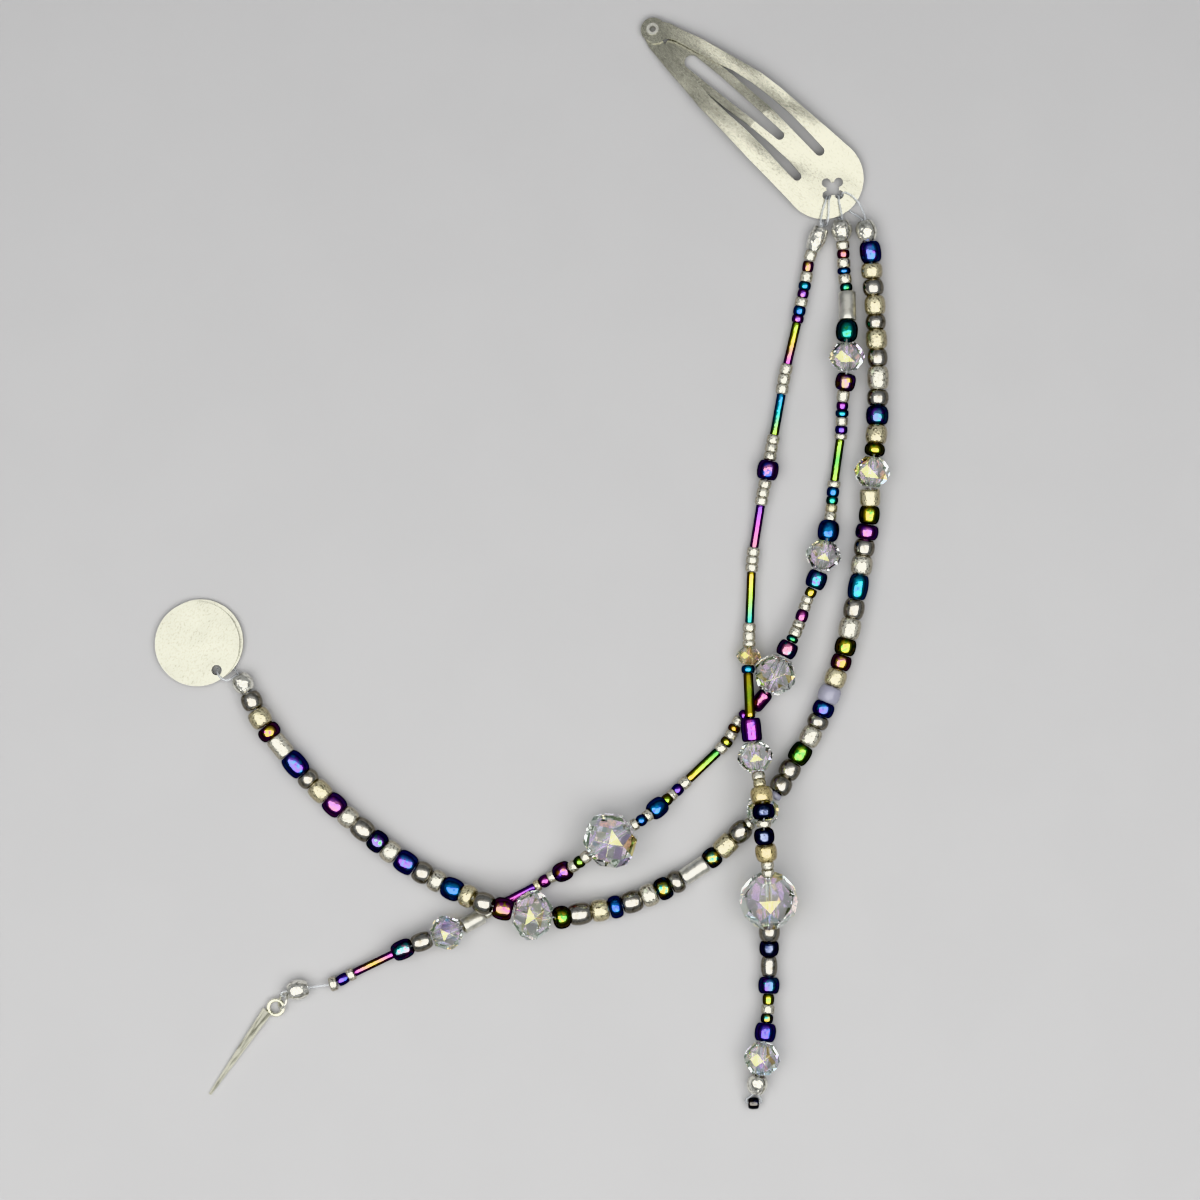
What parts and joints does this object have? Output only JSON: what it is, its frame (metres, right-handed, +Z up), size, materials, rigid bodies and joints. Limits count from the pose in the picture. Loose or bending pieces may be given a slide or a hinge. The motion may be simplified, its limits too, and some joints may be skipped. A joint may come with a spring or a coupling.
{
  "type": "beaded hair clip",
  "caption": "Sprung steel snap hair clip with strands of glass beads, cut crystals and metal charms threaded through its wide end.",
  "frame": {"origin": "on the surface that the piece lies on, under the middle of its bounding box", "axes": "+Z up from the surface; +Y along the longest side, towards the clip; +X towards the side on which the clip lies"},
  "size_m": [0.1263, 0.1878, 0.0102],
  "materials": {
    "clip_steel": "bright rolled spring steel with soft fine marks",
    "bright_metal": "silvery plated metal, lightly worn",
    "disc_metal": "satin tumbled metal with fine scratches",
    "cover_metal": "silver plate, shiny",
    "nylon_thread": "clear nylon monofilament",
    "clear_crystal": "clear cut glass with a faint rainbow coat",
    "champagne_glass": "champagne cut glass with a bright lining",
    "bugle_glass": "dark glass tube with an oily rainbow lustre",
    "bead_glass": "silver lined clear glass and glossy coloured glass with a rainbow lustre",
    "dark_glass": "glossy midnight glass"
  },
  "bodies": {
    "root": {"snap_clip": "clip_steel", "eyelet": "bright_metal", "thread_left": "nylon_thread", "thread_middle": "nylon_thread", "thread_right": "nylon_thread", "beads_left_upper": "bead_glass", "beads_left_lower": "bead_glass", "beads_middle_upper": "bead_glass", "beads_middle_lower": "bead_glass", "beads_right_upper": "bead_glass", "beads_right_lower": "bead_glass", "crimp_left_1": "cover_metal", "bugle_left_1": "bugle_glass", "bugle_left_2": "bugle_glass", "bugle_left_3": "bugle_glass", "bugle_left_4": "bugle_glass", "rondelle_left_1": "champagne_glass", "bugle_left_5": "bugle_glass", "crystal_left_1": "clear_crystal", "crystal_left_2": "clear_crystal", "crystal_left_3": "clear_crystal", "crimp_left_2": "cover_metal", "crimp_middle_1": "cover_metal", "tube_middle_1": "cover_metal", "crystal_middle_1": "clear_crystal", "bugle_middle_1": "bugle_glass", "crystal_middle_2": "clear_crystal", "crystal_middle_3": "clear_crystal", "bugle_middle_2": "bugle_glass", "crystal_middle_4": "clear_crystal", "bugle_middle_3": "bugle_glass", "tube_middle_2": "cover_metal", "crystal_middle_5": "clear_crystal", "bugle_middle_4": "bugle_glass", "crimp_middle_2": "cover_metal", "crimp_right_1": "cover_metal", "crystal_right_1": "clear_crystal", "crystal_right_2": "clear_crystal", "tube_right_1": "cover_metal", "crystal_right_3": "clear_crystal", "crimp_right_2": "cover_metal", "stop_bead": "dark_glass", "disc_lower": "disc_metal", "disc_upper": "disc_metal", "jump_ring": "bright_metal", "spike": "bright_metal"}
  },
  "joints": []
}
